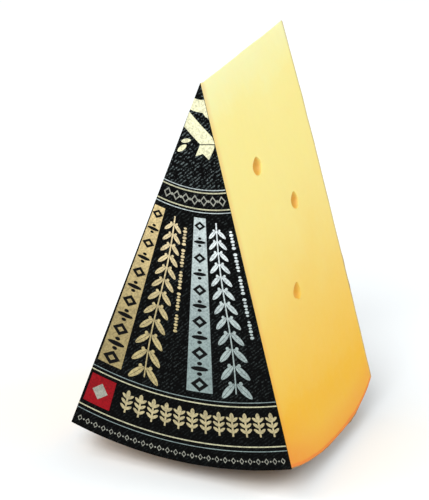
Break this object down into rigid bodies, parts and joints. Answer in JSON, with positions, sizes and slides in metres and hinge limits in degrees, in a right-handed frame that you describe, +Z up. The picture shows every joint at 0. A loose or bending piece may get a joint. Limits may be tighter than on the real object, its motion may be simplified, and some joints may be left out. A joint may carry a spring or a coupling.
{
  "type": "cheese wedge",
  "caption": "Wedge of semi-hard cheese standing on its rind, tip up, with a few small eyes in the cut faces and a dark paper label over one flat side.",
  "frame": {"origin": "centre of the wedge's bounding box in plan, at the surface that it stands on", "axes": "+Z up from the rind to the tip edge, +Y along the round's axis from the labelled side to the bare side, +X across the wedge, with one cut face on each side"},
  "size_m": [0.0904, 0.0908, 0.1524],
  "materials": {
    "cheese": "satin",
    "label_paper": "satin",
    "gold_print": "satin",
    "silver_print": "satin",
    "cream_print": "matte",
    "red_print": "matte"
  },
  "bodies": {
    "root": {"cheese_wedge": "cheese", "face_label": "label_paper"}
  },
  "joints": []
}
